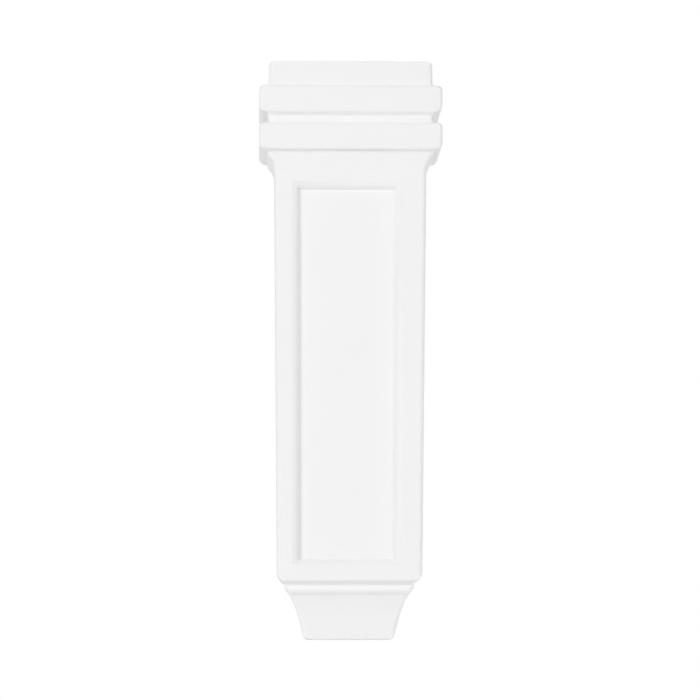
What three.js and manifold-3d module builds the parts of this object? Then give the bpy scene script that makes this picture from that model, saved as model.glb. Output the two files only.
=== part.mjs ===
// A wall corbel cast in one piece: a banded cap, a tall panelled body and a small tapering foot.
// Millimetres, +Z up. The flat back lies on the plane y = 0, the front faces -Y,
// and the origin is the middle of the back.

import * as THREE from 'three';
import Module from 'manifold-3d';

// Overall sizes of the plain core that every moulding is measured from
const HEIGHT = 316;
const CORE_HALF_WIDTH = 41.7;
const CORE_DEPTH = 63.5;
const FRONT_LEAN = 0.082;
const SIDE_TAPER = 0.0081;
const CORNER_RADIUS = 2.1;

// Foot. Heights are above its flat underside. Outsets are from the core, so a negative one is set back
const FOOT_EDGE_RADIUS = 2.7;
const FOOT_TOE_OUTSET = -14.4;
const FOOT_TOE_ANGLE = THREE.MathUtils.degToRad(13);
const FOOT_NECK_OUTSET = -6.9;
const FOOT_NECK_HEIGHT = 24.2;
const FOOT_NECK_ANGLE = THREE.MathUtils.degToRad(32);

// Bead between the foot and the body
const BEAD_OUTSET = -4.4;
const BEAD_STEP = 0.4;
const BEAD_TOP = 30.1;
const BEAD_SWELL = 1.7;

// Lip at the bottom of the body: a sloping underside, then a rounded edge
const LIP_UNDER_OUTSET = -1.6;
const LIP_UNDER_HEIGHT = 31.6;
const LIP_EDGE_HEIGHT = 32.5;
const LIP_TOP = 34.6;

// Ogee that carries the body out under the cap
const OGEE_FOOT = 258.8;
const OGEE_TOP = 265.2;
const OGEE_OUTSET = 3.6;

// Cap: two flat bands with a groove between them, and a block on top
const BAND_OUTSET = 8.5;
const LOWER_BAND_BOTTOM = 266.7;
const LOWER_BAND_TOP = 281.6;
const LOWER_BAND_UNDER_RADIUS = 2.4;
const LOWER_BAND_UPPER_RADIUS = 2.1;
const GROOVE_OUTSET = 3.6;
const GROOVE_COVE_RADIUS = 1.4;
const UPPER_BAND_BOTTOM = 287.7;
const UPPER_BAND_TOP = 302.2;
const UPPER_BAND_UNDER_RADIUS = 2;
const UPPER_BAND_UPPER_RADIUS = 2.4;
const BLOCK_FOOT_OUTSET = 3.3;
const BLOCK_TOP_OUTSET = 3.1;
const BLOCK_COVE_RADIUS = 1.3;
const BLOCK_EDGE_RADIUS = 1.8;

// Sunk panel in the body's front: its outer outline, and the rounded edge that leads down to its floor
const PANEL_BOTTOM = 41;
const PANEL_TOP = 250.4;
const PANEL_BOTTOM_HALF_WIDTH = 30;
const PANEL_TOP_HALF_WIDTH = 30.6;
const PANEL_SHIFT = -1.6;
const PANEL_SINK = 4.75;
const PANEL_EDGE_SIDE = 4.3;
const PANEL_EDGE_TOP = 4.3;
const PANEL_EDGE_BOTTOM = 2.8;
const PANEL_EDGE_START = THREE.MathUtils.degToRad(40);
const PANEL_CUT_CLEARANCE = 2;

// Fineness of the rounded stretches
const PROFILE_STEPS = 4;
const CORNER_STEPS = 3;
const PANEL_EDGE_STEPS = 8;

const QUARTER = Math.PI / 2;

// Half the core's width and its depth at a height: straight in the cap, tapering down the body
function coreAt(height) {
  const below = Math.max(0, OGEE_FOOT - height);
  return {
    halfWidth: CORE_HALF_WIDTH - below * SIDE_TAPER,
    depth: CORE_DEPTH - below * FRONT_LEAN,
  };
}

// The point where two straight runs meet, each given by a point and its angle from upright
function meetingPoint(a, angleA, b, angleB) {
  const slopeA = Math.tan(angleA);
  const slopeB = Math.tan(angleB);
  const height = (b.x - a.x + slopeA * a.y - slopeB * b.y) / (slopeA - slopeB);
  return new THREE.Vector2(a.x + slopeA * (height - a.y), height);
}

// Outward quarter round under a band, and the one on its top edge
function roundUnder(path, outset, bottom, radius) {
  path.absarc(outset - radius, bottom + radius, radius, -QUARTER, 0, false);
}

function roundOver(path, outset, top, radius) {
  path.absarc(outset - radius, top - radius, radius, 0, QUARTER, false);
}

// Hollow quarter round from a ledge up to an upright face
function hollowUp(path, outset, ledge, radius) {
  path.absarc(outset + radius, ledge + radius, radius, -QUARTER, -2 * QUARTER, true);
}

function drawFoot(path) {
  const toeCentre = FOOT_TOE_OUTSET - FOOT_EDGE_RADIUS;
  path.moveTo(toeCentre, 0);
  path.absarc(toeCentre, FOOT_EDGE_RADIUS, FOOT_EDGE_RADIUS, -QUARTER, -FOOT_TOE_ANGLE, false);
  const toe = path.currentPoint.clone();
  const neck = new THREE.Vector2(FOOT_NECK_OUTSET, FOOT_NECK_HEIGHT);
  const pull = meetingPoint(toe, FOOT_TOE_ANGLE, neck, FOOT_NECK_ANGLE);
  path.quadraticCurveTo(pull.x, pull.y, neck.x, neck.y);
}

function drawBeadAndLip(path) {
  path.lineTo(FOOT_NECK_OUTSET + BEAD_STEP, FOOT_NECK_HEIGHT + BEAD_STEP);
  path.quadraticCurveTo(BEAD_OUTSET, FOOT_NECK_HEIGHT + BEAD_SWELL, BEAD_OUTSET, BEAD_TOP);
  path.lineTo(LIP_UNDER_OUTSET, LIP_UNDER_HEIGHT);
  path.quadraticCurveTo(0, LIP_EDGE_HEIGHT, 0, LIP_TOP);
}

function drawOgee(path) {
  const middle = (OGEE_FOOT + OGEE_TOP) / 2;
  path.lineTo(0, OGEE_FOOT);
  path.bezierCurveTo(0, middle, OGEE_OUTSET, middle, OGEE_OUTSET, OGEE_TOP);
  path.lineTo(OGEE_OUTSET, LOWER_BAND_BOTTOM);
}

function drawCap(path) {
  roundUnder(path, BAND_OUTSET, LOWER_BAND_BOTTOM, LOWER_BAND_UNDER_RADIUS);
  roundOver(path, BAND_OUTSET, LOWER_BAND_TOP, LOWER_BAND_UPPER_RADIUS);
  hollowUp(path, GROOVE_OUTSET, LOWER_BAND_TOP, GROOVE_COVE_RADIUS);
  path.lineTo(GROOVE_OUTSET, UPPER_BAND_BOTTOM);
  roundUnder(path, BAND_OUTSET, UPPER_BAND_BOTTOM, UPPER_BAND_UNDER_RADIUS);
  roundOver(path, BAND_OUTSET, UPPER_BAND_TOP, UPPER_BAND_UPPER_RADIUS);
  hollowUp(path, BLOCK_FOOT_OUTSET, UPPER_BAND_TOP, BLOCK_COVE_RADIUS);
  roundOver(path, BLOCK_TOP_OUTSET, HEIGHT, BLOCK_EDGE_RADIUS);
}

// The moulding's whole profile from the underside to the top: x is the outset, y the height
function mouldingProfile() {
  const path = new THREE.Path();
  drawFoot(path);
  drawBeadAndLip(path);
  drawOgee(path);
  drawCap(path);
  return path.getPoints(PROFILE_STEPS);
}

// The outline of the corbel in plan at one point of the profile, square at the wall, rounded in front
function planOutline({ x: outset, y: height }) {
  const core = coreAt(height);
  const half = core.halfWidth + outset;
  const depth = core.depth + outset;
  const r = CORNER_RADIUS;
  const outline = new THREE.Shape();
  outline.moveTo(half, 0);
  outline.lineTo(-half, 0);
  outline.absarc(r - half, r - depth, r, 2 * QUARTER, 3 * QUARTER, false);
  outline.absarc(half - r, r - depth, r, 3 * QUARTER, 4 * QUARTER, false);
  const level = height - HEIGHT / 2;
  return outline.getPoints(CORNER_STEPS).map(({ x, y }) => new THREE.Vector3(x, y, level));
}

// One ring of the panel's cutter, sunk so far below the front: share 0 is the outer outline, 1 the floor's
function panelRing(share, sunk) {
  const bottom = PANEL_BOTTOM + share * PANEL_EDGE_BOTTOM;
  const top = PANEL_TOP - share * PANEL_EDGE_TOP;
  const corner = (side, height) => {
    const rise = (height - PANEL_BOTTOM) / (PANEL_TOP - PANEL_BOTTOM);
    const half = THREE.MathUtils.lerp(PANEL_BOTTOM_HALF_WIDTH, PANEL_TOP_HALF_WIDTH, rise);
    const x = PANEL_SHIFT + side * (half - share * PANEL_EDGE_SIDE);
    return new THREE.Vector3(x, sunk - coreAt(height).depth, height - HEIGHT / 2);
  };
  return [corner(-1, bottom), corner(-1, top), corner(1, top), corner(1, bottom)];
}

// Rings of the panel's cutter, from clear of the front, down the convex edge, to the floor
function panelRings() {
  const rings = [panelRing(0, -PANEL_CUT_CLEARANCE)];
  for (let step = 0; step <= PANEL_EDGE_STEPS; step += 1) {
    const angle = THREE.MathUtils.lerp(PANEL_EDGE_START, QUARTER, step / PANEL_EDGE_STEPS);
    const share = (Math.sin(angle) - Math.sin(PANEL_EDGE_START)) / (1 - Math.sin(PANEL_EDGE_START));
    const fall = 1 - Math.cos(angle) / Math.cos(PANEL_EDGE_START);
    rings.push(panelRing(share, fall * PANEL_SINK));
  }
  return rings;
}

// A closed skin over rings of equally many points, each end closed by a fan
function loft(rings) {
  const count = rings[0].length;
  const index = [];
  for (let ring = 0; ring < rings.length - 1; ring += 1) {
    for (let point = 0; point < count; point += 1) {
      const next = (point + 1) % count;
      const low = ring * count;
      const high = low + count;
      index.push(low + point, low + next, high + next);
      index.push(low + point, high + next, high + point);
    }
  }
  const last = (rings.length - 1) * count;
  for (let point = 1; point < count - 1; point += 1) {
    index.push(0, point + 1, point);
    index.push(last, last + point, last + point + 1);
  }
  const geometry = new THREE.BufferGeometry().setFromPoints(rings.flat());
  geometry.setIndex(index);
  return geometry;
}

const wasm = await Module();
wasm.setup();

function toSolid(geometry) {
  const mesh = new wasm.Mesh({
    numProp: 3,
    vertProperties: new Float32Array(geometry.attributes.position.array),
    triVerts: new Uint32Array(geometry.index.array),
  });
  return new wasm.Manifold(mesh);
}

function toGeometry(solid) {
  const { numProp, vertProperties, triVerts } = solid.getMesh();
  const geometry = new THREE.BufferGeometry();
  geometry.setAttribute('position', new THREE.BufferAttribute(vertProperties, numProp));
  geometry.setIndex(new THREE.BufferAttribute(triVerts, 1));
  geometry.computeVertexNormals();
  return geometry;
}

// Outer form first, then the panel is sunk into its front
const outerForm = toSolid(loft(mouldingProfile().map(planOutline)));
const panelCutter = toSolid(loft(panelRings()));

const whitePaint = new THREE.MeshStandardMaterial({ color: 0xf2f2f0, roughness: 0.5, metalness: 0 });
const casting = new THREE.Mesh(toGeometry(outerForm.subtract(panelCutter)), whitePaint);
casting.name = 'corbel';

const corbel = new THREE.Group();
corbel.add(casting);

export default corbel;
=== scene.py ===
# %% [markdown]
# # A cast wall corbel in white
# The corbel is one casting in rigid foam: a banded cap, a tall body with a sunk panel and a small
# tapering foot, painted a soft matt white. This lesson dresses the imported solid. It models the casting
# again with fine rounded edges, gives it its paint, and sets up a white studio with a camera that looks
# up from a little below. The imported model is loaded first, so that every size below can be held against
# it.

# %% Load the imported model
import math

import bmesh
import bpy
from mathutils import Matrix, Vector


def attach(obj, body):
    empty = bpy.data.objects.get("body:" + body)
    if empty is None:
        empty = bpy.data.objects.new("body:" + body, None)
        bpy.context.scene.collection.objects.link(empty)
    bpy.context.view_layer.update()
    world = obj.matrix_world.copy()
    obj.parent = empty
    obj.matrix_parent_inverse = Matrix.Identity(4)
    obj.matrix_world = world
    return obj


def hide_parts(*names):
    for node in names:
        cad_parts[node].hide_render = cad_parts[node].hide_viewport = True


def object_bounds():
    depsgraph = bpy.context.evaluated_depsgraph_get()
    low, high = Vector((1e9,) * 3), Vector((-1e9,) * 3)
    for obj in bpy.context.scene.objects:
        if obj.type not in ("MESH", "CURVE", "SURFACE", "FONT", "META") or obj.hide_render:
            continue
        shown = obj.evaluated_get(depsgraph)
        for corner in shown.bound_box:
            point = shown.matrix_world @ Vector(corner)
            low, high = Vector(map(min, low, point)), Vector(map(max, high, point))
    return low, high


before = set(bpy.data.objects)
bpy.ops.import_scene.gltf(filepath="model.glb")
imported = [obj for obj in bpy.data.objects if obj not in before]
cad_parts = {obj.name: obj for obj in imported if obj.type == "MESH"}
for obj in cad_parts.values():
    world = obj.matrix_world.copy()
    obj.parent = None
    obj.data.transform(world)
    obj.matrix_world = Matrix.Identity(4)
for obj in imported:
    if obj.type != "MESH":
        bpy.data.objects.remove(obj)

MM = 0.001
cad_low, cad_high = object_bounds()
print("CAD box in mm:", [round(v / MM, 1) for v in cad_high - cad_low])

# %% [markdown]
# ## The core that the mouldings are measured from
# The plain block inside the mouldings is as wide and deep as the top of the body. Below the cap its
# sides taper a little and its front leans back towards the wall. Every moulding is then only an outset
# from this core, which is how a moulding is drawn that runs across a front and returns along both
# sides.

# %% Core sizes
HEIGHT = cad_high.z - cad_low.z
FLOOR_OF_FOOT = cad_low.z
BAND_OUTSET = 8.5 * MM
CORE_HALF_WIDTH = cad_high.x - BAND_OUTSET
CORE_DEPTH = -cad_low.y - BAND_OUTSET
BODY_TOP = 258.8 * MM
FRONT_LEAN = 0.082
SIDE_TAPER = 0.0081


def core_at(height):
    """Half width and depth of the core at a height above the foot's underside."""
    below = max(0.0, BODY_TOP - height)
    return CORE_HALF_WIDTH - below * SIDE_TAPER, CORE_DEPTH - below * FRONT_LEAN


print("core at the cap in mm:", [round(v / MM, 1) for v in core_at(HEIGHT)])

# %% [markdown]
# ## The profile of the mouldings
# A mason draws a profile with straight runs first and rounds its corners afterwards, and this cell does
# the same. Each corner has an outset from the core, a height above the underside and the distance that
# its rounding reaches along both runs. All three are given once for the front and once for the sides,
# where the returns are softer and the groove is deeper. The hollow of the foot and the ogee under the
# cap are only corners with a long reach. The corners become one flat face, and the bevel operator
# rounds its vertices.

# %% Corners of the profile, from the underside of the foot to the top of the cap
FOOT_SLOPE = math.tan(math.radians(13))
NECK_SLOPE = math.tan(math.radians(32))
TOE_OUTSET = -14.95
NECK_OUTSET = -6.9
NECK_HEIGHT = 24.2
NECK_SIDE_HEIGHT = 25.2
BEAD_OUTSET = -4.4
OGEE_OUTSET = 3.6
GROOVE_FRONT = 5.2
GROOVE_SIDES = 3.6
HOLLOW_HEIGHT = (NECK_OUTSET - TOE_OUTSET - NECK_SLOPE * NECK_HEIGHT) / (FOOT_SLOPE - NECK_SLOPE)
HOLLOW_OUTSET = TOE_OUTSET + FOOT_SLOPE * HOLLOW_HEIGHT
BAND = BAND_OUTSET / MM
TOP = HEIGHT / MM

PROFILE_CORNERS = [
    # outset, height and reach of the rounding, each on the front and on the sides, then the steps
    (TOE_OUTSET, TOE_OUTSET, 0.0, 0.0, 0.4, 2.3, 8),
    (HOLLOW_OUTSET, HOLLOW_OUTSET, HOLLOW_HEIGHT, HOLLOW_HEIGHT, 7.0, 7.4, 16),
    (NECK_OUTSET, NECK_OUTSET, NECK_HEIGHT, NECK_SIDE_HEIGHT, 0.3, 0.6, 4),
    (BEAD_OUTSET, BEAD_OUTSET, 25.9, 28.0, 1.5, 1.7, 8),
    (BEAD_OUTSET, BEAD_OUTSET, 29.7, 30.6, 0.5, 0.5, 4),
    (0.0, 0.0, 31.9, 33.1, 0.7, 3.9, 12),
    (0.0, 0.0, 257.8, 260.4, 3.4, 2.4, 10),
    (OGEE_OUTSET, OGEE_OUTSET, 265.4, 264.8, 0.9, 0.9, 6),
    (OGEE_OUTSET, OGEE_OUTSET, 266.7, 266.7, 0.35, 0.6, 4),
    (BAND, BAND, 266.7, 266.7, 1.5, 4.1, 12),
    (BAND, BAND, 281.4, 281.8, 1.6, 2.9, 8),
    (GROOVE_FRONT, GROOVE_SIDES, 281.4, 281.8, 0.7, 1.9, 8),
    (GROOVE_FRONT, GROOVE_SIDES, 285.7, 287.8, 0.6, 0.9, 6),
    (BAND, BAND, 287.6, 287.8, 0.7, 3.9, 10),
    (BAND, BAND, 302.2, 302.2, 1.9, 3.2, 8),
    (3.3, 3.3, 302.2, 302.2, 0.7, 1.9, 8),
    (3.1, 3.1, TOP, TOP, 0.5, 3.2, 10),
]
INSIDE_OUTSET = -22.0
SUPPORT = 0.25 * MM
LONG_RUN = 5 * SUPPORT
MOST_SUPPORT = 0.2


def round_corner(bm, vert, reach, steps):
    """Rounds one vertex of a flat face along both of its edges."""
    bmesh.ops.bevel(
        bm, geom=[vert], offset=reach, offset_type="OFFSET", affect="VERTICES",
        segments=steps, profile=0.5, material=-1, clamp_overlap=True,
    )


def rounded_profile(face):
    """Points of the profile from the underside to the top, on the front (face 0) or the sides (face 1)."""
    bm = bmesh.new()
    verts = [bm.verts.new((corner[face] * MM, 0.0, corner[2 + face] * MM)) for corner in PROFILE_CORNERS]
    ends = [bm.verts.new((INSIDE_OUTSET * MM, 0.0, height)) for height in (HEIGHT, 0.0)]
    bm.faces.new(verts + ends)
    for vert, corner in zip(verts, PROFILE_CORNERS):
        round_corner(bm, vert, corner[4 + face] * MM, corner[6])
    bm.faces.ensure_lookup_table()
    ring = [v.co.copy() for v in bm.faces[0].verts]
    bm.free()
    halfway_in = (INSIDE_OUTSET + TOE_OUTSET) / 2 * MM
    start = next(i for i, co in enumerate(ring) if co.x < halfway_in and co.z < MM)
    ring = ring[start:] + ring[:start]
    if ring[1].z > HEIGHT / 2:
        ring = ring[:1] + ring[:0:-1]
    return ring[1:-1]


def stations_of(front, sides):
    """Pairs of points for the front and the sides, with a support close to both ends of each long run."""
    stations = [(front[0], sides[0])]
    for i in range(1, len(front)):
        runs = [(line[i - 1], line[i]) for line in (front, sides)]
        lengths = [(b - a).length for a, b in runs]
        if max(lengths) > LONG_RUN:
            shares = [min(SUPPORT / length, MOST_SUPPORT) for length in lengths]
            stations.append(tuple(a.lerp(b, s) for (a, b), s in zip(runs, shares)))
            stations.append(tuple(a.lerp(b, 1 - s) for (a, b), s in zip(runs, shares)))
        stations.append((front[i], sides[i]))
    return stations


front_profile = rounded_profile(0)
side_profile = rounded_profile(1)
STATIONS = stations_of(front_profile, side_profile)
print("profile:", len(PROFILE_CORNERS), "drawn corners,", len(STATIONS), "stations once rounded")

# %% [markdown]
# ## The casting
# The form grows from one flat face, the outline of the foot's underside, with its two front corners
# rounded by the bevel operator. That face is extruded upwards from station to station of the profile.
# At each one the left, right and front sides move out or in by their outset, so the mouldings meet in
# clean mitres. The upright corners are rounder on the body than on the cap. Along such a corner the
# level eases over from the side's profile to the front's.

# %% Plan outline and extrusion
BODY_CORNER = 2.1 * MM
CAP_CORNER = 1.9 * MM
CAP_BOTTOM = 266.2 * MM
CORNER_STEPS = 8


def section_at(station):
    """Half width, depth, corner radius, and the levels of the front and the sides at one station."""
    front, side = station
    half = core_at(side.z)[0] + side.x
    depth = core_at(front.z)[1] + front.x
    radius = CAP_CORNER if front.z > CAP_BOTTOM else BODY_CORNER
    return half, depth, radius, FLOOR_OF_FOOT + front.z, FLOOR_OF_FOOT + side.z


def plan_face(bm, station):
    """The outline of the corbel in plan, as one face, with a support vertex beside each rounded corner."""
    half, depth, radius, level = section_at(station)[:4]
    inner = radius + SUPPORT
    right = [(half, 0.0), (half, inner - depth), (half, -depth), (half - inner, -depth)]
    left = [(-x, y) for x, y in reversed(right)]
    verts = [bm.verts.new((x, y, level)) for x, y in right + left]
    bm.faces.new(verts)
    for corner in (verts[2], verts[5]):
        round_corner(bm, corner, radius, CORNER_STEPS)
    bm.faces.ensure_lookup_table()
    return bm.faces[0]


def move_to_next(co, section, next_section):
    """Where a vertex of one outline goes on the next outline."""
    half, depth, radius = section[:3]
    next_half, next_depth, next_radius, next_front_level, next_side_level = next_section
    side = 1 if co.x > 0 else -1
    if co.y > -depth / 2:
        return Vector((side * next_half, 0.0, next_side_level))
    inward = (half - abs(co.x)) / radius
    back = (depth + co.y) / radius
    beyond = max(inward, back, 1.0) - 1
    share = math.acos(min(max(1 - inward, 0.0), 1.0)) / (math.pi / 2)
    next_inward = min(inward, 1.0) * next_radius + (beyond * radius if inward > back else 0.0)
    next_back = min(back, 1.0) * next_radius + (beyond * radius if back > inward else 0.0)
    level = (1 - share) * next_side_level + share * next_front_level
    return Vector((side * (next_half - next_inward), next_back - next_depth, level))


def extrude_to(bm, face, section, next_section):
    """Extrudes the topmost face to the next station and moves its vertices to that outline."""
    made = bmesh.ops.extrude_face_region(bm, geom=[face])["geom"]
    cap = next(g for g in made if isinstance(g, bmesh.types.BMFace))
    for vert in cap.verts:
        vert.co = move_to_next(vert.co, section, next_section)
    return cap


casting = bmesh.new()
top_face = plan_face(casting, STATIONS[0])
sections = [section_at(station) for station in STATIONS]
inner_faces = []
for section, next_section in zip(sections, sections[1:]):
    inner_faces.append(top_face)
    top_face = extrude_to(casting, top_face, section, next_section)
bmesh.ops.delete(casting, geom=inner_faces[1:], context="FACES_ONLY")
print("casting without its panel:", len(casting.faces), "faces")

# %% [markdown]
# ## The sunk panel
# The long panel on the front has a convex edge that runs down to a flat floor, with mitred corners. The
# front of the body is a single four-sided face, so it is inset once for the outer outline, and then
# again and again, each time a little smaller and deeper: first down a short straight slope, then round
# an arc that ends steeply. The edge is narrower at the bottom, and the whole panel sits a touch to the
# left.

# %% Sink the panel
PANEL_BOTTOM = 41.0 * MM
PANEL_TOP = 250.4 * MM
PANEL_BOTTOM_HALF = 30.0 * MM
PANEL_TOP_HALF = 30.6 * MM
PANEL_SHIFT = -1.6 * MM
EDGE_SIDE = 4.3 * MM
EDGE_TOP = 4.3 * MM
EDGE_BOTTOM = 2.8 * MM
EDGE_SLOPE = math.radians(28)
EDGE_END = math.radians(82)
EDGE_STRAIGHT = 0.36
EDGE_STEPS = 14
CREASE_SUPPORT = 0.05
INSET_STEP = 0.1 * MM


def panel_corner(side, upper, share, sunk):
    """A corner of the panel: share 0 is on its outer outline and 1 on its floor, sunk is its depth."""
    height = PANEL_TOP - share * EDGE_TOP if upper else PANEL_BOTTOM + share * EDGE_BOTTOM
    rise = (height - PANEL_BOTTOM) / (PANEL_TOP - PANEL_BOTTOM)
    half = PANEL_BOTTOM_HALF + rise * (PANEL_TOP_HALF - PANEL_BOTTOM_HALF) - share * EDGE_SIDE
    return Vector((PANEL_SHIFT + side * half, sunk - core_at(height)[1], FLOOR_OF_FOOT + height))


def inset_to(bm, face, share, sunk):
    """Insets the four-sided face and moves its corners to their places on that ring of the panel."""
    middle = face.calc_center_median()
    bmesh.ops.inset_individual(bm, faces=[face], thickness=INSET_STEP)
    for vert in face.verts:
        side = -1 if vert.co.x < middle.x else 1
        vert.co = panel_corner(side, vert.co.z > middle.z, share, sunk)


def edge_ring(turn):
    """Share and depth on the panel's edge: a straight slope first, then an arc to the given angle."""
    reach = (1 - EDGE_STRAIGHT) / (math.sin(EDGE_END) - math.sin(EDGE_SLOPE))
    share = EDGE_STRAIGHT + reach * (math.sin(turn) - math.sin(EDGE_SLOPE))
    fall = EDGE_STRAIGHT * math.tan(EDGE_SLOPE) + reach * (math.cos(EDGE_SLOPE) - math.cos(turn))
    return share, fall * EDGE_SIDE


body_front = max(
    (f for f in casting.faces if f.calc_center_median().y < -CORE_DEPTH / 2),
    key=lambda f: f.calc_area(),
)
turns = [EDGE_SLOPE + (EDGE_END - EDGE_SLOPE) * step / EDGE_STEPS for step in range(EDGE_STEPS + 1)]
arc_rings = [edge_ring(turn) for turn in turns]
slope_start = (CREASE_SUPPORT, CREASE_SUPPORT * EDGE_SIDE * math.tan(EDGE_SLOPE))
floor_start = (1 + CREASE_SUPPORT, arc_rings[-1][1])
for share, sunk in [(-CREASE_SUPPORT, 0.0), (0.0, 0.0), slope_start] + arc_rings + [floor_start]:
    inset_to(casting, body_front, share, sunk)
print("panel floor in mm:", [round(e.calc_length() / MM, 1) for e in body_front.edges])

# %% [markdown]
# ## From mesh to finished piece
# The doubles are merged, the strips on the wall side become one flat face, and all faces are turned
# outwards. The casting has only soft edges except at the wall and at the panel's floor, so it is shaded
# smooth and split at those two sharp angles.

# %% Make the piece
SHARP_ANGLE = math.radians(50)
MERGE = 0.002 * MM

bmesh.ops.remove_doubles(casting, verts=casting.verts, dist=MERGE)
bmesh.ops.dissolve_degenerate(casting, dist=MERGE, edges=casting.edges)
wall_side = [f for f in casting.faces if all(v.co.y > -MERGE for v in f.verts)]
bmesh.ops.dissolve_faces(casting, faces=wall_side)
bmesh.ops.recalc_face_normals(casting, faces=casting.faces)
corbel_mesh = bpy.data.meshes.new("corbel_casting")
casting.to_mesh(corbel_mesh)
casting.free()
corbel_mesh.shade_smooth()
corbel_mesh.set_sharp_from_angle(angle=SHARP_ANGLE)
corbel = bpy.data.objects.new("corbel_casting", corbel_mesh)
bpy.context.scene.collection.objects.link(corbel)
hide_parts("corbel")
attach(corbel, "root")
print("casting:", len(corbel_mesh.vertices), "vertices,", len(corbel_mesh.polygons), "faces")

# %% [markdown]
# ## Matt white paint
# The real finish is a sprayed white primer: almost without gloss, very even, with the faint orange peel
# that spraying leaves and a barely visible drift in tone. The paint ends at the wall, where the flat
# back shows the bare pale foam with its fine open pores. All patterns read Object coordinates, so they
# stay with the piece from every side.

# %% Paint
PAINT_COLOUR = (0.955, 0.955, 0.953, 1.0)
PAINT_SHADE = (0.945, 0.945, 0.943, 1.0)
FOAM_COLOUR = (0.90, 0.88, 0.82, 1.0)
FOAM_SHADE = (0.84, 0.815, 0.745, 1.0)
PORE_COLOUR = (0.70, 0.67, 0.59, 1.0)
BACK_START = -0.6 * MM
BACK_FULL = -0.1 * MM
PAINT_SPECULAR = 0.22
DRIFT_SCALE = 22.0
SHEEN_SCALE = 70.0
SHEEN_RANGE = (0.5, 0.64)
PEEL_SCALE = 700.0
PEEL_STRENGTH = 0.12
PEEL_DEPTH = 0.05 * MM
FOAM_SCALE = 45.0
FOAM_EXTRA_ROUGHNESS = 0.25
PORE_SCALE = 760.0
PORE_EDGE = (0.14, 0.34)
PORE_DEPTH = 4.0


def add_node(tree, kind, **values):
    """Adds a node and sets its inputs by name."""
    node = tree.nodes.new(kind)
    for name, value in values.items():
        node.inputs[name.replace("_", " ")].default_value = value
    return node


def noise(tree, place, scale, detail):
    """A soft noise over the piece."""
    node = add_node(tree, "ShaderNodeTexNoise", Scale=scale, Detail=detail, Roughness=0.5)
    tree.links.new(place, node.inputs["Vector"])
    return node.outputs["Fac"]


def ramp(tree, value, from_min, from_max, to_min, to_max):
    """Stretches a value from one range to another."""
    node = add_node(
        tree, "ShaderNodeMapRange", From_Min=from_min, From_Max=from_max, To_Min=to_min, To_Max=to_max,
    )
    tree.links.new(value, node.inputs["Value"])
    return node.outputs["Result"]


def combined(tree, operation, *values):
    """Joins numbers and outputs by one step of arithmetic."""
    node = tree.nodes.new("ShaderNodeMath")
    node.operation = operation
    for socket, value in zip(node.inputs, values):
        if isinstance(value, float):
            socket.default_value = value
        else:
            tree.links.new(value, socket)
    return node.outputs["Value"]


def mixed(tree, factor, first, second):
    """A colour between two others, each of them a fixed colour or an output."""
    mix = tree.nodes.new("ShaderNodeMix")
    mix.data_type = "RGBA"
    tree.links.new(factor, mix.inputs["Factor"])
    for name, value in (("A", first), ("B", second)):
        if isinstance(value, tuple):
            mix.inputs[name].default_value = value
        else:
            tree.links.new(value, mix.inputs[name])
    return mix.outputs["Result"]


def white_paint():
    """The sprayed finish of the casting, with the bare foam of its back."""
    material = bpy.data.materials.new("sprayed_white")
    material.use_nodes = True
    tree = material.node_tree
    shader = tree.nodes["Principled BSDF"]
    shader.inputs["Specular IOR Level"].default_value = PAINT_SPECULAR
    place = tree.nodes.new("ShaderNodeTexCoord").outputs["Object"]

    axes = tree.nodes.new("ShaderNodeSeparateXYZ")
    tree.links.new(place, axes.inputs["Vector"])
    bare = ramp(tree, axes.outputs["Y"], BACK_START, BACK_FULL, 0.0, 1.0)
    cells = add_node(tree, "ShaderNodeTexVoronoi", Scale=PORE_SCALE)
    tree.links.new(place, cells.inputs["Vector"])
    pores = ramp(tree, cells.outputs["Distance"], *PORE_EDGE, 1.0, 0.0)
    open_pores = combined(tree, "MULTIPLY", pores, bare)

    paint = mixed(tree, noise(tree, place, DRIFT_SCALE, 3.0), PAINT_COLOUR, PAINT_SHADE)
    foam = mixed(tree, noise(tree, place, FOAM_SCALE, 4.0), FOAM_COLOUR, FOAM_SHADE)
    surface = mixed(tree, bare, paint, foam)
    colour = mixed(tree, open_pores, surface, PORE_COLOUR)
    tree.links.new(colour, shader.inputs["Base Color"])

    sheen = ramp(tree, noise(tree, place, SHEEN_SCALE, 2.0), 0.0, 1.0, *SHEEN_RANGE)
    roughness = combined(tree, "MULTIPLY_ADD", bare, FOAM_EXTRA_ROUGHNESS, sheen)
    tree.links.new(roughness, shader.inputs["Roughness"])

    peel = noise(tree, place, PEEL_SCALE, 2.0)
    height = combined(tree, "MULTIPLY_ADD", open_pores, -PORE_DEPTH, peel)
    bump = add_node(tree, "ShaderNodeBump", Strength=PEEL_STRENGTH, Distance=PEEL_DEPTH)
    tree.links.new(height, bump.inputs["Height"])
    tree.links.new(bump.outputs["Normal"], shader.inputs["Normal"])
    return material


corbel_mesh.materials.append(white_paint())
print("paint:", corbel_mesh.materials[0].name)

# %% [markdown]
# ## White studio
# The corbel hangs free on pure white, far above a pale floor that fades to white in the distance. The
# floor takes and returns light like matt paint, and only the camera sees it as an even pale tone.

# %% Floor
FLOOR_LEVEL = -1.1
FLOOR_SIZE = 12.0
FLOOR_TONE = 0.76
FADE_START = 1.0
FADE_END = 11.0
FLOOR_COLOUR = (0.86, 0.86, 0.86, 1.0)
FLOOR_ROUGHNESS = 0.8

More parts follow.
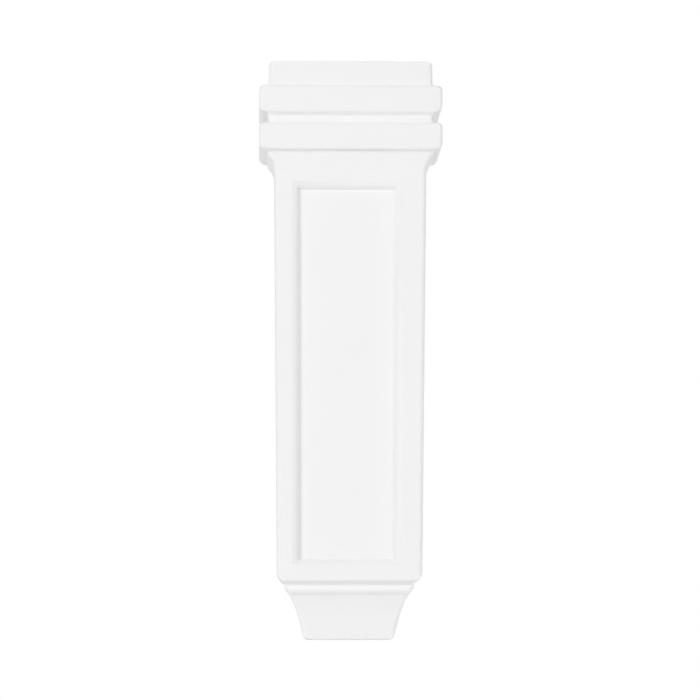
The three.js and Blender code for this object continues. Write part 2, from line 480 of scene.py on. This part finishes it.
floor_form = bmesh.new()
bmesh.ops.create_grid(floor_form, x_segments=4, y_segments=4, size=FLOOR_SIZE)
bmesh.ops.translate(floor_form, verts=floor_form.verts, vec=(0, 0, FLOOR_LEVEL))
floor_mesh = bpy.data.meshes.new("studio_floor")
floor_form.to_mesh(floor_mesh)
floor_form.free()
studio_floor = bpy.data.objects.new("studio_floor", floor_mesh)
bpy.context.scene.collection.objects.link(studio_floor)
floor_paint = bpy.data.materials.new("pale_floor")
floor_paint.use_nodes = True
floor_nodes = floor_paint.node_tree
floor_shader = floor_nodes.nodes["Principled BSDF"]
floor_shader.inputs["Base Color"].default_value = FLOOR_COLOUR
floor_shader.inputs["Roughness"].default_value = FLOOR_ROUGHNESS
pale = add_node(floor_nodes, "ShaderNodeEmission", Color=(1, 1, 1, 1))
floor_place = floor_nodes.nodes.new("ShaderNodeTexCoord").outputs["Object"]
from_middle = floor_nodes.nodes.new("ShaderNodeVectorMath")
from_middle.operation = "LENGTH"
floor_nodes.links.new(floor_place, from_middle.inputs[0])
fade = ramp(floor_nodes, from_middle.outputs["Value"], FADE_START, FADE_END, FLOOR_TONE, 1.0)
floor_nodes.links.new(fade, pale.inputs["Strength"])
floor_ray = floor_nodes.nodes.new("ShaderNodeLightPath")
floor_mix = floor_nodes.nodes.new("ShaderNodeMixShader")
floor_nodes.links.new(floor_ray.outputs["Is Camera Ray"], floor_mix.inputs["Fac"])
floor_nodes.links.new(floor_shader.outputs["BSDF"], floor_mix.inputs[1])
floor_nodes.links.new(pale.outputs["Emission"], floor_mix.inputs[2])
floor_nodes.links.new(floor_mix.outputs["Shader"], floor_nodes.nodes["Material Output"].inputs["Surface"])
floor_mesh.materials.append(floor_paint)
print("floor:", FLOOR_LEVEL, "m, tone", FLOOR_TONE)

# %% [markdown]
# ## Light from all round
# The world is the soft light of a white room. It is weak, because the panels below do
# most of the work. Only the camera sees it as pure white.

# %% World
AMBIENT = 0.34

world = bpy.data.worlds.new("white_studio")
world.use_nodes = True
bpy.context.scene.world = world
sky = world.node_tree
sky.nodes.clear()
soft = add_node(sky, "ShaderNodeBackground", Color=(1, 1, 1, 1), Strength=AMBIENT)
seen = add_node(sky, "ShaderNodeBackground", Color=(1, 1, 1, 1), Strength=1.0)
ray = sky.nodes.new("ShaderNodeLightPath")
pick = sky.nodes.new("ShaderNodeMixShader")
world_end = sky.nodes.new("ShaderNodeOutputWorld")
sky.links.new(ray.outputs["Is Camera Ray"], pick.inputs["Fac"])
sky.links.new(soft.outputs["Background"], pick.inputs[1])
sky.links.new(seen.outputs["Background"], pick.inputs[2])
sky.links.new(pick.outputs["Shader"], world_end.inputs["Surface"])
bpy.context.scene.view_settings.view_transform = "Standard"
print("ambient light:", AMBIENT)

# %% [markdown]
# ## Soft panels
# Two large panels light the front. The left one is nearly twice as strong, so the edge on the panel's
# left lies in shade. One panel above and two below soften the ledges and the undersides, and three
# behind the corbel light its sides and its back.

# %% Soft panels
MIDDLE = Vector((0.0, -0.04, 0.0))
PANELS = {
    # turn to the right of the front and rise in degrees, distance and size in metres, power in watts
    "left_panel": (-34, 10, 2.3, 1.3, 22.2),
    "right_panel": (36, 8, 2.3, 1.3, 11.8),
    "top_panel": (0, 85, 1.6, 1.4, 4.0),
    "low_panel": (0, -75, 1.0, 0.8, 0.45),
    "foot_panel": (0, -40, 0.5, 0.3, 0.04),
    "left_rear_panel": (-117, -20, 2.0, 1.1, 10.0),
    "right_rear_panel": (117, -20, 2.0, 1.1, 11.5),
    "rear_panel": (180, 30, 2.3, 1.3, 9.0),
}


def soft_panel(name, turn, rise, distance, size, power):
    """A square soft light that faces the corbel and that the camera doesn't see."""
    light = bpy.data.lights.new(name, "AREA")
    light.size = size
    light.energy = power
    lamp = bpy.data.objects.new(name, light)
    turn, rise = math.radians(turn), math.radians(rise)
    way = Vector((math.sin(turn) * math.cos(rise), -math.cos(turn) * math.cos(rise), math.sin(rise)))
    lamp.location = MIDDLE + distance * way
    lamp.rotation_euler = way.to_track_quat("Z", "Y").to_euler()
    lamp.visible_camera = False
    bpy.context.scene.collection.objects.link(lamp)


for name, values in PANELS.items():
    soft_panel(name, *values)
print("lights:", ", ".join(PANELS))

# %% [markdown]
# ## Camera
# The photograph was taken from far away with a long lens, from a little below the corbel's foot and a
# little to its left, so the undersides of the cap's returns show on both sides. The camera is simply
# aimed at the middle of the front, without any shift, so it can be moved round the piece.

# %% Camera
IMAGE_SIDE = 700
MM_PER_PIXEL = 0.5444
CAMERA_DISTANCE = 2300 * MM
CAMERA_LEFT = 49.5 * MM
CAMERA_BELOW = 190.0 * MM
AIM = Vector((-0.5 * MM, cad_low.y, -1.5 * MM))

camera_data = bpy.data.cameras.new("camera")
camera = bpy.data.objects.new("camera", camera_data)
camera.location = AIM + Vector((-CAMERA_LEFT, -CAMERA_DISTANCE, -CAMERA_BELOW))
sight = AIM - camera.location
camera.rotation_euler = sight.to_track_quat("-Z", "Y").to_euler()
camera_data.sensor_width = 36.0
camera_data.lens = camera_data.sensor_width * sight.length / (IMAGE_SIDE * MM_PER_PIXEL * MM)
bpy.context.scene.collection.objects.link(camera)
bpy.context.scene.camera = camera
print("lens in mm:", round(camera_data.lens, 1))

# %% [markdown]
# ## Finish
# The view layer is brought up to date at the end.

# %% Finish
bpy.context.view_layer.update()
